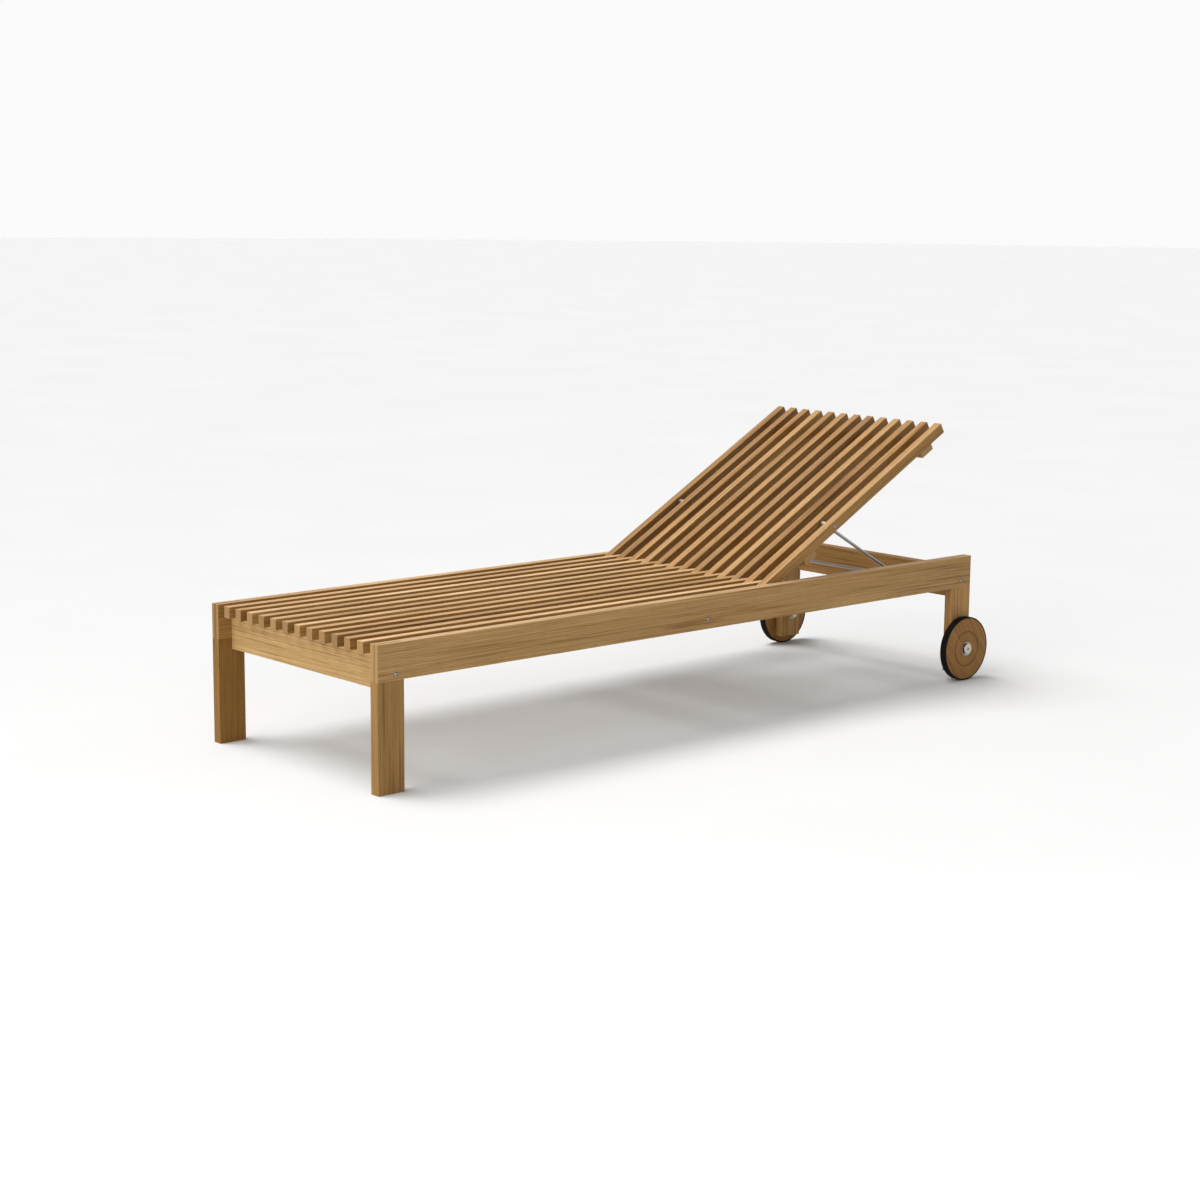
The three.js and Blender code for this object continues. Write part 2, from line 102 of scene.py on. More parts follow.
class Graph:
    """A short way to wire a material's nodes."""

    def __init__(self, name):
        self.material = bpy.data.materials.new(name)
        self.material.use_nodes = True
        self.tree = self.material.node_tree
        self.shader = self.tree.nodes["Principled BSDF"]

    def node(self, kind, inputs=None, **settings):
        made = self.tree.nodes.new(kind)
        for key, value in settings.items():
            setattr(made, key, value)
        for key, value in (inputs or {}).items():
            self.feed(value, made.inputs[key])
        return made

    def feed(self, value, socket):
        if isinstance(value, bpy.types.NodeSocket):
            self.tree.links.new(value, socket)
        else:
            socket.default_value = value

    def math(self, operation, a, b=0.0, c=0.0):
        inputs = {0: a, 1: b, 2: c}
        return self.node("ShaderNodeMath", inputs, operation=operation).outputs[0]

    def vector(self, operation, a, b=(0, 0, 0)):
        return self.node("ShaderNodeVectorMath", {0: a, 1: b}, operation=operation)

    def noise(self, vector, scale=1.0, detail=2.0, roughness=0.5):
        inputs = {"Vector": vector, "Scale": scale, "Detail": detail, "Roughness": roughness}
        return self.node("ShaderNodeTexNoise", inputs).outputs["Fac"]

    def stretch(self, vector, scale, shift=(0, 0, 0)):
        inputs = {"Vector": vector, "Scale": scale, "Location": shift}
        return self.node("ShaderNodeMapping", inputs).outputs["Vector"]

    def ramp(self, factor, stops, easing="LINEAR"):
        """Colours by (position, linear colour) stops."""
        made = self.node("ShaderNodeValToRGB", {"Fac": factor})
        made.color_ramp.interpolation = easing
        elements = made.color_ramp.elements
        while len(elements) < len(stops):
            elements.new(0.5)
        for element, (position, colour) in zip(elements, stops):
            element.position = position
            element.color = (*colour, 1.0)
        return made.outputs["Color"]

    def grey(self, factor, stops, easing="LINEAR"):
        """Values by (position, value) stops."""
        return self.ramp(factor, [(position, (value,) * 3) for position, value in stops], easing)

    def mix(self, factor, a, b, blend="MIX"):
        """Blends two colours, each a socket or three linear values."""
        made = self.node("ShaderNodeMix", data_type="RGBA", blend_type=blend, clamp_factor=True)
        first, second = made.inputs[6], made.inputs[7]
        self.feed(factor, made.inputs[0])
        for colour, socket in ((a, first), (b, second)):
            self.feed((*colour, 1.0) if isinstance(colour, tuple) else colour, socket)
        return made.outputs[2]

    def bump(self, layers):
        """Stacks (height, distance in metres) layers into one normal."""
        normal = None
        for height, distance in layers:
            inputs = {"Height": height, "Distance": distance, "Strength": 1.0}
            if normal is not None:
                inputs["Normal"] = normal
            normal = self.node("ShaderNodeBump", inputs).outputs["Normal"]
        self.feed(normal, self.shader.inputs["Normal"])


# ---- Timber ----------------------------------------------------------------------------

# Turns that bring each grain direction onto the texture's own Y
GRAIN_TURNS = {
    "length": (0, 0, 0),
    "back": (-BACK_TILT, 0, 0),
    "height": (math.radians(-90), 0, 0),
    "across": (0, 0, math.radians(90)),
    "wheel": (math.radians(56), 0, 0),
}

# The middle colour of each board, linear
TONES = {
    "pale": (0.365, 0.208, 0.066),
    "honey": (0.320, 0.170, 0.048),
    "tan": (0.284, 0.152, 0.042),
    "russet": (0.256, 0.135, 0.038),
    # Paler and greyer than the other boards: painted sheen
    "rail": (0.378, 0.226, 0.083),
    "apron": (0.445, 0.282, 0.112),
    "amber": (0.375, 0.212, 0.066),
    # Darker and browner low down: painted shade
    "leg": (0.280, 0.154, 0.045),
    # The leg's tone, darker still for the far front leg: painted shade under the bed
    "umber": (0.214, 0.104, 0.018),
    "heart": (0.290, 0.146, 0.034),
}

# How other parts of a board compare with its middle colour, red by green by blue
LIGHT_SHARE = (1.24, 1.30, 1.42)
DARK_SHARE = (0.56, 0.47, 0.34)
PORE_SHARE = (0.55, 0.55, 0.55)
# Upper faces, as painted top light
PAINTED_TOP_LIGHT_SHARE = (1.93, 2.32, 4.10)
# Worn edges, partly a painted highlight
EDGE_WEAR_AND_HIGHLIGHT_SHARE = (1.15, 1.25, 1.60)
# A turned groove, as painted shade
GROOVE_SHADE_SHARE = (0.45, 0.45, 0.45)
SPECKLE_SHARE = (0.55, 0.50, 0.45)
END_GREY = (0.40, 0.30, 0.17)


def shade(colour, share):
    return tuple(value * part for value, part in zip(colour, share))


class Teak(Graph):
    """Oiled teak with its grain along one of GRAIN_TURNS, built up step by step."""

    def __init__(self, name, mid, grain, seed):
        super().__init__(name)
        self.mid = mid
        self.light = shade(mid, LIGHT_SHARE)
        self.dark = shade(mid, DARK_SHARE)
        self.shift = (seed * 1.37, seed * 2.11, seed * 0.73)
        turn = GRAIN_TURNS[grain]
        coords = self.node("ShaderNodeTexCoord").outputs
        self.local = coords["Object"]
        self.place = self.node("ShaderNodeMapping", {"Vector": self.local, "Rotation": turn}).outputs[0]
        turned_normal = {"Vector": coords["Normal"], "Rotation": turn}
        normal = self.node("ShaderNodeMapping", turned_normal, vector_type="NORMAL").outputs[0]
        self.faces = self.node("ShaderNodeSeparateXYZ", {0: normal}).outputs
        self.fibre = self.along((900, 5, 900), detail=2, roughness=0.6)
        self.streak = self.along((240, 3.2, 240), detail=4, roughness=0.6)
        self.cloud = self.along((18, 1.8, 18), detail=2)
        self.pore = self.grey(self.along((1500, 26, 1500), detail=1), [(0.60, 0.0), (0.72, 1.0)])

    def along(self, scale, detail, roughness=0.5):
        """Noise with the given number of features per metre, across, along and through the grain."""
        stretched = self.stretch(self.place, scale, self.shift)
        return self.noise(stretched, detail=detail, roughness=roughness)

    def glued_boards(self, width):
        """A value of its own for each board of a piece glued up from several."""
        if width is None:
            return None
        height = self.node("ShaderNodeSeparateXYZ", {0: self.place}).outputs["Z"]
        seam_offset = 0.3
        board = self.math("FLOOR", self.math("MULTIPLY_ADD", height, 1 / width, seam_offset))
        return self.node("ShaderNodeTexWhiteNoise", {"W": board}, noise_dimensions="1D").outputs["Value"]

    def growth_rings(self, gap, lean, own_value):
        """Latewood lines: leaning layers, bent by a slow wave along the board."""
        wave = self.math("MULTIPLY", self.along((14, 0.9, 14), detail=3), 9.0)
        across = self.vector("DOT_PRODUCT", self.place, (lean, 0.0, 1.0)).outputs["Value"]
        layer = self.math("MULTIPLY_ADD", across, 1 / gap, wave)
        if own_value is not None:
            layer = self.math("MULTIPLY_ADD", own_value, 7.0, layer)
        ring = self.math("FRACT", layer)
        return self.grey(ring, [(0.0, 0.0), (0.45, 0.12), (0.86, 0.9), (0.95, 0.55), (1.0, 0.0)], "EASE")

    def long_grain(self, latewood, ring_depth, own_value):
        """Streaks and slow changes of colour down the board, with its rings, fibres and pores."""
        mottle = self.math("MULTIPLY_ADD", self.streak, 0.75, self.math("MULTIPLY", self.cloud, 0.35))
        stops = [(0.42, self.dark), (0.52, self.mid), (0.57, self.mid), (0.68, self.light)]
        body = self.ramp(mottle, stops)
        if own_value is not None:
            body = self.mix(self.grey(own_value, [(0.0, 0.0), (1.0, 0.45)]), body, self.dark)
        ringed = self.mix(self.math("MULTIPLY", latewood, ring_depth), body, self.dark)
        fibred = self.mix(self.grey(self.fibre, [(0.35, 0.34), (0.62, 0.0)]), ringed, self.dark)
        return self.mix(self.math("MULTIPLY", self.pore, 0.40), fibred, shade(self.dark, PORE_SHARE))

    def paint_top_light(self, colour, painted_top_light):
        """Painted top light: the upper faces are paler and greyer, unevenly."""
        upper = self.grey(self.faces["Z"], [(0.55, 0.0), (0.90, painted_top_light)])
        uneven = self.grey(self.cloud, [(0.30, 0.80), (0.65, 1.0)])
        return self.mix(self.math("MULTIPLY", upper, uneven), colour, PAINTED_TOP_LIGHT_SHARE, "MULTIPLY")

    def end_grain(self, colour, latewood):
        """The ends are greyer and speckled."""
        end = self.grey(self.math("ABSOLUTE", self.faces["Y"]), [(0.75, 0.0), (0.93, 1.0)])
        end_mid = tuple(0.78 * own + 0.22 * grey for own, grey in zip(self.mid, END_GREY))
        speckle = self.grey(self.along((1300, 1300, 1300), detail=2), [(0.42, 0.6), (0.60, 0.0)])
        end_wood = self.mix(speckle, end_mid, shade(end_mid, SPECKLE_SHARE))
        return self.mix(end, colour, self.mix(self.math("MULTIPLY", latewood, 0.40), end_wood, self.dark))

    def paint_groove_shade(self, colour, groove):
        """Painted shade in a groove turned at the given radius about the piece's own X."""
        if groove is None:
            return colour
        spoke = self.vector("MULTIPLY", self.local, (0, 1, 1)).outputs[0]
        reach = self.vector("LENGTH", spoke).outputs["Value"]
        off_line = self.math("ABSOLUTE", self.math("SUBTRACT", reach, groove))
        centimetres = self.math("MULTIPLY", off_line, 100)
        groove_shade = self.grey(centimetres, [(0.12, 0.75), (0.26, 0.0)])
        return self.mix(groove_shade, colour, shade(self.dark, GROOVE_SHADE_SHARE))

    def worn_and_highlit_edges(self):
        """Where a rounded edge turns away from its face, the oil wears off; the paler edge is partly a
        painted highlight.
        """
        rounded_normal = self.node("ShaderNodeBevel", {"Radius": 2.2 * MM}, samples=4).outputs["Normal"]
        flat = self.node("ShaderNodeNewGeometry").outputs["True Normal"]
        turned = self.vector("DOT_PRODUCT", rounded_normal, flat).outputs["Value"]
        edge = self.grey(turned, [(0.80, 1.0), (0.985, 0.0)])
        return self.math("MULTIPLY", edge, self.grey(self.streak, [(0.35, 0.25), (0.60, 0.75)]))

    def finish(self, colour, edge_wear_and_highlight, latewood):
        # Edges are paler: wear, partly a painted highlight
        self.feed(self.mix(edge_wear_and_highlight, colour, shade(self.light, EDGE_WEAR_AND_HIGHLIGHT_SHARE)), self.shader.inputs["Base Color"])
        rough = self.math("MULTIPLY_ADD", self.fibre, 0.22, self.math("MULTIPLY_ADD", self.pore, 0.10, 0.46))
        self.feed(self.math("MULTIPLY_ADD", edge_wear_and_highlight, 0.12, rough), self.shader.inputs["Roughness"])
        self.shader.inputs["Specular IOR Level"].default_value = 0.22
        self.bump([(latewood, -0.00006), (self.fibre, 0.00010), (self.pore, -0.00016)])


def timber(name, mid, grain, seed, ring_gap=3.4 * MM, ring_lean=0.35, ring_depth=0.40, painted_top_light=0.0,
           boards=None, groove=None):
    """A teak material; `boards` is the width of glued boards, and `groove` the radius of a turned groove."""
    teak = Teak(name, mid, grain, seed)
    own_value = teak.glued_boards(boards)
    latewood = teak.growth_rings(ring_gap, ring_lean, own_value)
    colour = teak.long_grain(latewood, ring_depth, own_value)
    colour = teak.paint_top_light(colour, painted_top_light)
    colour = teak.end_grain(colour, latewood)
    colour = teak.paint_groove_shade(colour, groove)
    teak.finish(colour, teak.worn_and_highlit_edges(), latewood)
    return teak.material


# ---- Metal and rubber ------------------------------------------------------------------

MARK_COLOUR = (0.30, 0.29, 0.28)


def brushed_steel(name, colour, roughness, scale):
    """Stainless steel with fine drawing marks along `scale`'s small axis."""
    g = Graph(name)
    place = g.node("ShaderNodeTexCoord").outputs["Object"]
    marks = g.noise(g.stretch(place, scale), detail=3)
    stain = g.noise(place, scale=60, detail=3)
    stained = tuple(0.78 * value for value in colour)
    tint = g.mix(g.grey(stain, [(0.35, 0.0), (0.75, 0.5)]), colour, stained)
    marked = g.mix(g.grey(marks, [(0.4, 0.0), (0.7, 0.35)]), tint, MARK_COLOUR)
    g.feed(marked, g.shader.inputs["Base Color"])
    g.shader.inputs["Metallic"].default_value = 1.0
    g.feed(g.math("MULTIPLY_ADD", marks, 0.18, roughness), g.shader.inputs["Roughness"])
    g.bump([(marks, 0.00002)])
    return g.material


def tyre_rubber():
    """Matt black rubber with a little dust."""
    g = Graph("tyre_rubber")
    place = g.node("ShaderNodeTexCoord").outputs["Object"]
    grain = g.noise(place, scale=2600, detail=2)
    dust = g.noise(place, scale=45, detail=4, roughness=0.65)
    black, dusty = (0.004, 0.004, 0.0045), (0.012, 0.011, 0.010)
    g.feed(g.mix(g.grey(dust, [(0.45, 0.0), (0.80, 0.6)]), black, dusty), g.shader.inputs["Base Color"])
    g.feed(g.math("MULTIPLY_ADD", dust, 0.25, 0.55), g.shader.inputs["Roughness"])
    g.shader.inputs["Specular IOR Level"].default_value = 0.08
    g.bump([(grain, 0.00008)])
    return g.material


# ---- Carried-over timber ---------------------------------------------------------------

SLAT_BEVEL = 1.1 * MM
FRAME_BEVEL = 0.6 * MM


def dress(node, material, bevel):
    """A CAD node keeps its shape, with its edges eased, and takes the given material."""
    piece = NODES[node]
    piece.data.materials.clear()
    piece.data.materials.append(material)
    weld = piece.modifiers.new("weld", "WELD")
    weld.merge_threshold = 0.01 * MM
    flatten = piece.modifiers.new("flatten", "DECIMATE")
    flatten.decimate_type = "DISSOLVE"
    flatten.angle_limit = math.radians(1)
    ease = piece.modifiers.new("ease", "BEVEL")
    ease.width = bevel
    ease.segments = 3
    ease.limit_method = "ANGLE"
    ease.angle_limit = math.radians(50)
    ease.harden_normals = True


# Tones slat by slat, from the right side of the lounger to the left
SEAT_TONES = [
    "honey", "honey", "pale", "tan", "pale", "tan", "pale", "honey", "honey", "russet", "honey", "pale",
]
BACK_TONES = [
    "tan", "russet", "honey", "pale", "tan", "honey", "honey", "russet", "honey", "pale", "tan", "honey",
    "pale",
]
# Painted shade: the back slats take the seat's tones, darkened
BACK_SHADE_SHARE = (0.86, 0.82, 0.76)


def seat_slats():
    for index, (node, tone) in enumerate(zip(SEAT_SLATS, SEAT_TONES)):
        lean = (-0.8, 0.25, 1.4)[index % 3]
        # The upper faces get painted top light
        wood = timber(f"{node}_teak", TONES[tone], "length", 1.7 * index, ring_lean=lean, painted_top_light=0.68)
        dress(node, wood, SLAT_BEVEL)


def back_slats():
    for index, (node, tone) in enumerate(zip(BACK_SLATS, BACK_TONES)):
        lean = (0.6, -1.2, 0.2)[index % 3]
        colour = shade(TONES[tone], BACK_SHADE_SHARE)
        # The upper faces get painted top light
        wood = timber(f"{node}_teak", colour, "back", 40 + 1.7 * index, ring_lean=lean, painted_top_light=0.33)
        dress(node, wood, SLAT_BEVEL)


# Tone, grain direction, depth of the rings and painted top light of each board
FRAME_BOARDS = {
    "rail_left": ("rail", "length", 0.55, 0.3),
    # Darker than the near rail: painted shade on its inner face
    "rail_right": ("honey", "length", 0.44, 0.7),
    "leg_front_left": ("leg", "height", 0.34, 0.0),
    "leg_front_right": ("umber", "height", 0.34, 0.0),
    "leg_rear_left": ("amber", "height", 0.34, 0.0),
    "leg_rear_right": ("amber", "height", 0.34, 0.0),
    "apron_front": ("apron", "across", 0.24, 0.0),
    "support_middle": ("tan", "across", 0.24, 0.0),
    "apron_rear": ("honey", "across", 0.24, 0.0),
    "rack_left": ("honey", "length", 0.34, 0.0),
    "rack_right": ("honey", "length", 0.34, 0.0),
    "batten_lower": ("amber", "across", 0.24, 0.0),
    "batten_upper": ("amber", "across", 0.24, 0.0),
}


def frame_boards():
    for index, (node, (tone, grain, ring_depth, painted_top_light)) in enumerate(FRAME_BOARDS.items()):
        wood = timber(f"{node}_teak", TONES[tone], grain, 90 + 2.3 * index, ring_gap=4.2 * MM,
                      ring_depth=ring_depth, painted_top_light=painted_top_light)
        dress(node, wood, FRAME_BEVEL)


seat_slats()
back_slats()
frame_boards()

# ---- Turned and faceted fittings -------------------------------------------------------

rod_steel = brushed_steel("rod_steel", (0.36, 0.335, 0.31), 0.22, (40, 900, 900))
screw_steel = brushed_steel("screw_steel", (0.36, 0.325, 0.285), 0.16, (700, 700, 700))
hub_steel = brushed_steel("hub_steel", (0.56, 0.51, 0.45), 0.22, (60, 700, 700))
rubber = tyre_rubber()


def radius_at(angle, radius, across_flats):
    """The outline's radius at an angle: a circle, cut to a hexagon where across_flats is given."""
    if across_flats is None:
        return radius
    from_flat = (angle + math.pi / 6) % (math.pi / 3) - math.pi / 6
    return min(radius, across_flats / 2 / math.cos(from_flat))


def turned_piece(name, profile, material, place, segments=96, turn=None):
    """Revolves (x, radius) or (x, radius, across flats) points about X; ends on the axis close to a point."""
    bm = bmesh.new()
    rings = []
    for x, radius, *flats in profile:
        if radius == 0:
            rings.append([bm.verts.new((x, 0, 0))] * segments)
            continue
        ring = []
        for step in range(segments):
            angle = 2 * math.pi * step / segments
            r = radius_at(angle, radius, flats[0] if flats else None)
            ring.append(bm.verts.new((x, r * math.cos(angle), r * math.sin(angle))))
        rings.append(ring)
    for ring, after in zip(rings, rings[1:]):
        for step in range(segments):
            other = (step + 1) % segments
            corners = dict.fromkeys((ring[step], ring[other], after[other], after[step]))
            if len(corners) > 2:
                bm.faces.new(corners)
    bmesh.ops.remove_doubles(bm, verts=bm.verts, dist=0.001 * MM)
    bmesh.ops.recalc_face_normals(bm, faces=bm.faces)
    return finish_piece(name, bm, material, Matrix.Translation(place) @ (turn or Matrix.Identity(4)))


def finish_piece(name, bm, material, matrix):
    """Smooths a mesh except along its sharp edges, and puts it in the scene."""
    sharp = math.radians(34)
    for face in bm.faces:
        face.smooth = True
    for edge in bm.edges:
        edge.smooth = len(edge.link_faces) == 2 and edge.calc_face_angle() < sharp
    mesh = bpy.data.meshes.new(name)
    bm.to_mesh(mesh)
    bm.free()
    piece = bpy.data.objects.new(name, mesh)
    piece.matrix_world = matrix
    bpy.context.scene.collection.objects.link(piece)
    piece.data.materials.append(material)
    return piece


def rounded(x, radius, edge, turn_from, turn_to, steps=5):
    """Points of a rounded corner about (x, radius), between two angles in degrees."""
    points = []
    for step in range(steps + 1):
        angle = math.radians(turn_from + (turn_to - turn_from) * step / steps)
        points.append((x + edge * math.cos(angle), radius + edge * math.sin(angle)))
    return points


def facing(sign):
    """Turns a fitting made for the left side round for the right side."""
    return Matrix.Rotation(0 if sign > 0 else math.pi, 4, "Z")


# ---- Wheels ----------------------------------------------------------------------------

WHEEL_BORE = 5.35 * MM
BOSS_RADIUS = 20 * MM
GROOVE_RADIUS = 47 * MM
WHEEL_SEGMENTS = 144


def groove_points(face):
    """The groove turned in the wheel's outer face, from its outer lip to its inner one."""
    half, floor_half, depth, lip = 1.3 * MM, 0.78 * MM, 1.6 * MM, 0.4 * MM
    return [
        (face, GROOVE_RADIUS + half + lip), (face - lip, GROOVE_RADIUS + half),
        (face - depth, GROOVE_RADIUS + floor_half), (face - depth, GROOVE_RADIUS - floor_half),
        (face - lip, GROOVE_RADIUS - half), (face, GROOVE_RADIUS - half - lip),
    ]


def wheel_piece(side, sign):
    """The turned disc, with a low boss against the leg."""
    low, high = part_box(f"wheel_{side}")
    tyre_low, tyre_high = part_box(f"tyre_{side}")
    depth, rim = high.x - low.x, (high.z - low.z) / 2
    back = depth - (tyre_high.x - tyre_low.x)
    edge, boss_edge = 1.6 * MM, 0.3 * MM
    profile = [
        (0, WHEEL_BORE), (0, BOSS_RADIUS - boss_edge), (boss_edge, BOSS_RADIUS),
        (back - boss_edge, BOSS_RADIUS), (back, BOSS_RADIUS + boss_edge),
        *rounded(back + edge, rim - edge, edge, 180, 90),
        *rounded(depth - edge, rim - edge, edge, 90, 0),
        *groove_points(depth),
        (depth, WHEEL_BORE), (0, WHEEL_BORE),
    ]
    # The turned groove gets painted shade
    wood = timber(f"wheel_{side}_teak", TONES["heart"], "wheel", 150 + 9 * sign, ring_gap=6.5 * MM,
                  ring_lean=0.6, ring_depth=0.60, boards=52 * MM, groove=GROOVE_RADIUS)
    place = inner_face(f"wheel_{side}", sign)
    piece = turned_piece(f"wheel_disc_{side}", profile, wood, place, WHEEL_SEGMENTS, facing(sign))
    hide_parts(f"wheel_{side}")
    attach(piece, f"wheel_{side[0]}")


def tyre_piece(side, sign):
    """A flat band with rounded shoulders and a fine moulding line round its middle."""
    low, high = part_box(f"tyre_{side}")
    half, outer = (high.x - low.x) / 2, (high.z - low.z) / 2
    thickness, edge, line = 3.4 * MM, 1.3 * MM, 0.35 * MM
    inner, shoulder, edge_centre = outer - thickness, half / 3, outer - edge - line
    profile = [
        (-half, inner), *rounded(-half + edge, edge_centre, edge, 180, 110),
        (-shoulder, outer - line / 3), (-line, outer - line / 4), (0, outer), (line, outer - line / 4),
        (shoulder, outer - line / 3), *rounded(half - edge, edge_centre, edge, 70, 0),
        (half, inner), (-half, inner),
    ]
    place = middle(f"tyre_{side}")
    piece = turned_piece(f"rubber_tyre_{side}", profile, rubber, place, WHEEL_SEGMENTS, facing(sign))
    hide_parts(f"tyre_{side}")
    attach(piece, f"wheel_{side[0]}")


def washer_piece(side, sign):
    low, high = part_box(f"hub_washer_{side}")
    thick, radius = high.x - low.x, (high.z - low.z) / 2
    bore, edge = 6 * MM, 0.4 * MM
    profile = [
        (0, bore), (0, radius - edge), (edge, radius), (thick - edge, radius),
        (thick, radius - edge), (thick, bore), (0, bore),
    ]
    place = inner_face(f"hub_washer_{side}", sign)
    washer = turned_piece(f"washer_{side}", profile, screw_steel, place, turn=facing(sign))
    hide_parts(f"hub_washer_{side}")
    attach(washer, "frame")


def thread_points(start, turns, pitch, depth, radius):
    points = []
    for turn in range(turns):
        root = start + turn * pitch
        points += [(root, radius - depth), (root + 0.6 * MM, radius)]
    return points


def axle_bolt_piece(side, sign):
    """Threaded at the nut, with a wide head that is undercut behind and has a hexagon socket."""
    low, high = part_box(f"axle_bolt_{side}")
    top, head = high.x - low.x, (high.z - low.z) / 2
    shank, head_height, collar, collar_width = 5 * MM, 4 * MM, 11 * MM, 2.3 * MM
    neck = top - head_height
    rim, rim_edge, edge = neck + collar_width, 0.3 * MM, 1.2 * MM
    socket, socket_flats = 4.1 * MM, 7 * MM
    profile = [
        (0, 0), (0, shank - 1 * MM), *thread_points(0.8 * MM, 7, 1.25 * MM, 0.55 * MM, shank),
        (12 * MM, shank), (neck, shank), (neck, collar), (rim, collar),
        (rim, head - rim_edge), (rim + rim_edge, head),
        (top - edge, head), *rounded(top - edge, head - edge, edge, 90, 20),
        (top, 6 * MM), (top, socket + 0.3 * MM), (top - 0.25 * MM, socket, socket_flats),
        (top - 2.9 * MM, socket, socket_flats), (top - 3.2 * MM, 0),
    ]
    place = inner_face(f"axle_bolt_{side}", sign)
    bolt = turned_piece(f"axle_{side}", profile, hub_steel, place, turn=facing(sign))
    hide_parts(f"axle_bolt_{side}")
    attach(bolt, "frame")


def axle_nut_piece(side, sign):
    """A hexagon nut with its flange on the leg."""
    low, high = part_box(f"axle_nut_{side}")
    depth, flange = high.x - low.x, (high.z - low.z) / 2
    bore, flats, plate, edge = 5.4 * MM, 17 * MM, 1.6 * MM, 0.3 * MM
    corner, seat = flats / math.sqrt(3), depth - plate
    profile = [
        (0, bore), (0, corner * 0.86, flats), (0.7 * MM, corner * 0.95, flats), (1.6 * MM, corner, flats),
        (seat, corner, flats), (seat, flange - edge), (seat + edge, flange),
        (depth, flange), (depth, bore), (0, bore),
    ]
    place = inner_face(f"axle_nut_{side}", sign)
    nut = turned_piece(f"flange_nut_{side}", profile, hub_steel, place, turn=facing(sign))
    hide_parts(f"axle_nut_{side}")
    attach(nut, "frame")


for side, sign in SIDES.items():
    wheel_piece(side, sign)
    tyre_piece(side, sign)
    washer_piece(side, sign)
    axle_bolt_piece(side, sign)
    axle_nut_piece(side, sign)

# ---- Frame bolts -----------------------------------------------------------------------


def button_profile(length, shank, head, height, socket, depth):
    """A button-head screw whose head stands on x = 0, with a hexagon socket."""
    points = [(-length, 0), (-length, shank - 0.5 * MM), (-length + 0.5 * MM, shank), (0, shank), (0, head)]
    for step in range(1, 7):
        angle = math.radians(15 * step)
        points.append((height * math.sin(angle), head * (0.45 + 0.55 * math.cos(angle))))
    floor = height - depth
    points += [(height, socket * 0.62), (height - 0.15 * MM, socket, socket), (floor, socket, socket)]
    return points + [(floor - 0.3 * MM, 0)]


def frame_bolt(station, side, sign):
    """A button-head bolt from the rail's outer face into a cross board."""
    node = f"bolt_{station}_{side}"
    low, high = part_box(node)
    under_head = outer_x(f"rail_{side}", sign) + sign * GAP
    height = abs(outer_x(node, sign) - under_head)
    length, head = high.x - low.x - height, (high.z - low.z) / 2
    profile = button_profile(length, 3 * MM, head, height, 5 * MM, 2.4 * MM)
    place = Vector((under_head, middle(node).y, middle(node).z))
    bolt = turned_piece(f"button_bolt_{station}_{side}", profile, screw_steel, place, turn=facing(sign))
    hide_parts(node)
    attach(bolt, "frame")


for side, sign in SIDES.items():
    for station in ("front", "middle", "rear"):
        frame_bolt(station, side, sign)

# ---- Hinge rod and prop ----------------------------------------------------------------

# The bail lies in the plane of its pivots and its cross bar, whose centre is its lowest and furthest point
bail_low, bail_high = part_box("prop_bail")
ROD_SEGMENTS = 48
BAR_RADIUS = 4.25 * MM
BAR = Vector((0, bail_high.y - BAR_RADIUS, bail_low.z + BAR_RADIUS))
ARM = BAR - PROP_PIVOT
ARM_X = (middle(SEAT_SLATS[-1]).x - middle(SEAT_SLATS[0]).x) / 2
EYE_WIDTH = 19.9 * MM
EYE_RADIUS = 8.5 * MM
WELD_BEAD = 1.4 * MM


def rod_profile(half, radius, edge):
    """A rod about x = 0 with chamfered ends."""
    return [
        (-half, 0), (-half, radius - edge), (-half + edge, radius),
        (half - edge, radius), (half, radius - edge), (half, 0),
    ]


def hinge_rod_piece():
    low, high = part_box("hinge_rod")
    profile = rod_profile((high.x - low.x) / 2, (high.z - low.z) / 2, 0.7 * MM)
    hinge_rod = turned_piece("hinge_rod_steel", profile, rod_steel, HINGE, ROD_SEGMENTS)
    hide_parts("hinge_rod")
    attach(hinge_rod, "frame")


def cross_bar():
    profile = rod_profile((bail_high.x - bail_low.x) / 2, BAR_RADIUS, 0.8 * MM)
    bar = turned_piece("prop_cross_bar", profile, rod_steel, BAR, ROD_SEGMENTS)
    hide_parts("prop_bail")
    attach(bar, "prop")


def weld_points(edge, steps):
    """A weld round the arm, from (distance past the edge in mm, share of the bead's height) steps."""
    return [(edge + distance * MM, BAR_RADIUS + WELD_BEAD * share) for distance, share in steps]


def prop_arm(side, sign):
    """An arm from its eye to the cross bar, with a weld at each end."""
    start, end = 5.5 * MM, ARM.length
    weld_eye = weld_points(EYE_RADIUS, [(-0.6, 1), (0.4, 0.9), (1.6, 0.35), (2.2, 0)])
    weld_bar = weld_points(end - BAR_RADIUS, [(-2.2, 0), (-1.2, 0.5), (0.4, 0.9), (2.65, 0.4)])
    profile = [(start, 0), (start, BAR_RADIUS + WELD_BEAD), *weld_eye, *weld_bar, (end, 0)]
    place = Vector((sign * ARM_X, PROP_PIVOT.y, PROP_PIVOT.z))
    down_arm = ARM.to_track_quat("X", "Z").to_matrix().to_4x4()
    arm = turned_piece(f"prop_arm_{side}", profile, rod_steel, place, ROD_SEGMENTS, down_arm)
    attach(arm, "prop")


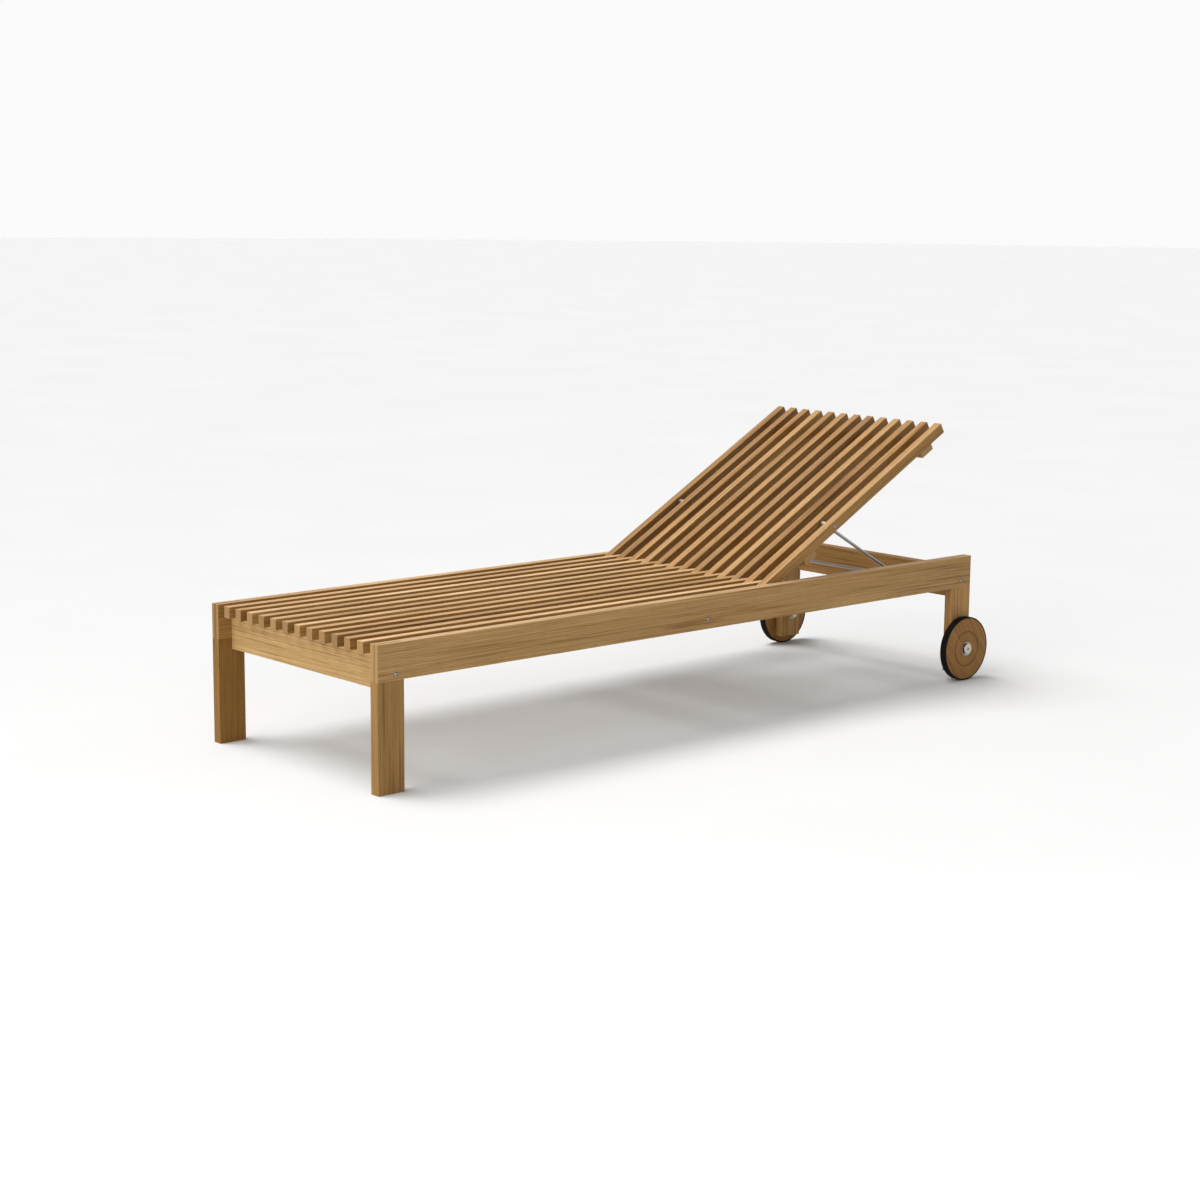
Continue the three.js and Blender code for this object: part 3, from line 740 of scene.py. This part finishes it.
def prop_eye(side, sign):
    """The ring that turns on the pivot bolt."""
    half, bore, edge = EYE_WIDTH / 2, 3.85 * MM, 0.8 * MM
    profile = [
        (-half, bore), (-half, EYE_RADIUS - edge), *rounded(-half + edge, EYE_RADIUS - edge, edge, 180, 90),
        *rounded(half - edge, EYE_RADIUS - edge, edge, 90, 0), (half, bore), (-half, bore),
    ]
    place = Vector((sign * ARM_X, PROP_PIVOT.y, PROP_PIVOT.z))
    eye = turned_piece(f"prop_eye_{side}", profile, hub_steel, place, segments=64)
    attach(eye, "prop")


def prop_pivot_bolt(side, sign):
    """The low-headed bolt on the outer back slat."""
    node = f"prop_bolt_{side}"
    low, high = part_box(node)
    outer_slat = BACK_SLATS[-1 if sign > 0 else 0]
    under_head = outer_x(outer_slat, sign) + sign * GAP
    height = abs(outer_x(node, sign) - under_head)
    length = high.x - low.x - height
    profile = button_profile(length, 3.5 * MM, 5.6 * MM, height, 4.5 * MM, 2.4 * MM)
    place = Vector((under_head, PROP_PIVOT.y, PROP_PIVOT.z))
    bolt = turned_piece(f"prop_pivot_bolt_{side}", profile, screw_steel, place, turn=facing(sign))
    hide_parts(node)
    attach(bolt, "backrest")


def prop_pivot_nut(side, sign):
    """The nut beside the next slat, square to the back."""
    node = f"prop_nut_{side}"
    low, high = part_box(node)
    depth, flats, bore = high.x - low.x, 10 * MM, 3.6 * MM
    corner = flats / math.sqrt(3)
    profile = [
        (0, bore), (0, corner * 0.86, flats), (0.6 * MM, corner * 0.96, flats), (1.2 * MM, corner, flats),
        (depth - 0.6 * MM, corner, flats), (depth, corner * 0.92, flats), (depth, bore), (0, bore),
    ]
    place = Vector((inner_face(node, sign).x, PROP_PIVOT.y, PROP_PIVOT.z))
    tilt = facing(sign) @ Matrix.Rotation(sign * BACK_TILT, 4, "X")
    nut = turned_piece(f"prop_pivot_nut_{side}", profile, screw_steel, place, turn=tilt)
    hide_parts(node)
    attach(nut, "backrest")


hinge_rod_piece()
cross_bar()
for side, sign in SIDES.items():
    prop_arm(side, sign)
    prop_eye(side, sign)
for side, sign in SIDES.items():
    prop_pivot_bolt(side, sign)
    prop_pivot_nut(side, sign)

# ---- Screws ----------------------------------------------------------------------------

SCREW_SHAPE = button_profile(6 * MM, 1.6 * MM, 3.6 * MM, 1.3 * MM, 2.4 * MM, 1.0 * MM)
BATTEN_THICKNESS = 18 * MM


def screw(name, place, outward, body):
    """A small pan-head screw whose head stands on `place` and faces `outward`."""
    turn = outward.to_track_quat("X", "Z").to_matrix().to_4x4()
    piece = turned_piece(name, SCREW_SHAPE, screw_steel, place, segments=36, turn=turn)
    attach(piece, body)


def batten_screws(batten):
    """One screw through a batten into every back slat."""
    reach = (middle(batten) - HINGE).dot(UP_THE_BACK)
    drop = SLAT_HEIGHT / 2 + GAP + BATTEN_THICKNESS
    for index, slat in enumerate(BACK_SLATS):
        on_hinge_line = Vector((middle(slat).x, HINGE.y, HINGE.z))
        under = on_hinge_line + UP_THE_BACK * reach - OFF_THE_BACK * drop
        screw(f"screw_{batten}_{index + 1:02d}", under, -OFF_THE_BACK, "backrest")


def support_screws():
    """One screw up through the middle support into every seat slat."""
    low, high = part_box("support_middle")
    for index, slat in enumerate(SEAT_SLATS):
        place = Vector((middle(slat).x, (low.y + high.y) / 2, low.z))
        screw(f"screw_support_{index + 1:02d}", place, Vector((0, 0, -1)), "frame")


def rack_screws(side, sign):
    """Three screws hold a rack to its rail."""
    low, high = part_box(f"rack_{side}")
    face = inner_face(f"rack_{side}", sign).x
    for index, share in enumerate((0.12, 0.5, 0.88)):
        place = Vector((face, low.y + share * (high.y - low.y), low.z + 15 * MM))
        screw(f"screw_rack_{side}_{index + 1}", place, Vector((-sign, 0, 0)), "frame")


batten_screws("batten_lower")
batten_screws("batten_upper")
support_screws()
for side, sign in SIDES.items():
    rack_screws(side, sign)

# ---- Floor, light and camera -----------------------------------------------------------


def floor_paint():
    g = Graph("pale_floor")
    place = g.node("ShaderNodeTexCoord").outputs["Object"]
    mottle = g.noise(place, scale=1.5, detail=3)
    g.feed(g.grey(mottle, [(0.3, 0.585), (0.7, 0.600)]), g.shader.inputs["Base Color"])
    g.shader.inputs["Roughness"].default_value = 0.8
    g.shader.inputs["Specular IOR Level"].default_value = 0.1
    return g.material


def studio_floor():
    bm = bmesh.new()
    bmesh.ops.create_circle(bm, cap_ends=True, segments=96, radius=45)
    floor = finish_piece("studio_floor", bm, floor_paint(), Matrix.Translation((0, 0, cad_low.z)))


def add_light(name, lamp, source, target=(0, 0, 0)):
    holder = bpy.data.objects.new(name, lamp)
    holder.location = source
    holder.rotation_mode = "QUATERNION"
    holder.rotation_quaternion = (Vector(target) - Vector(source)).to_track_quat("-Z", "Y")
    bpy.context.scene.collection.objects.link(holder)


def broad_sun(name, azimuth, elevation, softness, strength, colour):
    """An even light from far off; azimuth is measured from the foot end (-Y) towards +X, in degrees."""
    lamp = bpy.data.lights.new(name, "SUN")
    lamp.energy = strength
    lamp.angle = math.radians(softness)
    lamp.color = colour
    a, e = math.radians(azimuth), math.radians(elevation)
    towards = Vector((math.sin(a) * math.cos(e), -math.cos(a) * math.cos(e), math.sin(e)))
    add_light(name, lamp, 5 * towards)


def soft_box(name, source, target, size, watts, colour):
    """A round lamp near the lounger; places and size in metres."""
    lamp = bpy.data.lights.new(name, "AREA")
    lamp.shape = "DISK"
    lamp.size = size
    lamp.energy = watts
    lamp.color = colour
    add_light(name, lamp, source, target)


def studio_world():
    """A dim room above, with pale walls down to the floor's edge."""
    world = bpy.data.worlds.new("studio")
    world.use_nodes = True
    tree = world.node_tree
    sky = tree.nodes.new("ShaderNodeTexCoord")
    parts = tree.nodes.new("ShaderNodeSeparateXYZ")
    height = tree.nodes.new("ShaderNodeValToRGB")
    wall, ceiling = height.color_ramp.elements
    wall.position, wall.color = 0.20, (0.96, 0.96, 0.96, 1.0)
    ceiling.position, ceiling.color = 0.45, (0.35, 0.35, 0.35, 1.0)
    tree.links.new(sky.outputs["Generated"], parts.inputs[0])
    tree.links.new(parts.outputs["Z"], height.inputs["Fac"])
    tree.links.new(height.outputs["Color"], tree.nodes["Background"].inputs["Color"])
    bpy.context.scene.world = world


# The photograph's view, solved from the bed's straight edges
CAMERA_PLACE = Vector((4.423, -4.0103, 1.349))
CAMERA_AZIMUTH = math.radians(48.42)
CAMERA_DIP = math.radians(10.17)
CAMERA_ROLL = math.radians(0.52)
CAMERA_LENS = 70.8      # on a sensor 36 mm wide


def studio_camera():
    back = Vector((math.sin(CAMERA_AZIMUTH) * math.cos(CAMERA_DIP),
                   -math.cos(CAMERA_AZIMUTH) * math.cos(CAMERA_DIP), math.sin(CAMERA_DIP)))
    right = Vector((math.cos(CAMERA_AZIMUTH), math.sin(CAMERA_AZIMUTH), 0))
    up = back.cross(right)
    level = Matrix((right, up, back)).transposed().to_4x4()
    lens = bpy.data.cameras.new("studio_camera")
    lens.sensor_width = 36
    lens.lens = CAMERA_LENS
    lens.clip_end = 200
    camera = bpy.data.objects.new("studio_camera", lens)
    camera.matrix_world = Matrix.Translation(CAMERA_PLACE) @ level @ Matrix.Rotation(CAMERA_ROLL, 4, "Z")
    bpy.context.scene.collection.objects.link(camera)
    bpy.context.scene.camera = camera


WHITE = (1.0, 1.0, 1.0)
WARM_WHITE = (1.0, 0.985, 0.96)

studio_floor()
studio_world()
broad_sun("top_light", -50, 68, 40, 3.6, WHITE)
broad_sun("front_light", 4, 26, 45, 0.48, WARM_WHITE)
soft_box("foot_light", (0.8, -5.2, 2.0), (0, -0.9, 0.25), 2.4, 56, WARM_WHITE)
soft_box("side_light", (4.0, -3.6, 2.2), (0.3, -0.8, 0.25), 2.0, 40, WARM_WHITE)
studio_camera()
bpy.context.scene.view_settings.view_transform = "Standard"
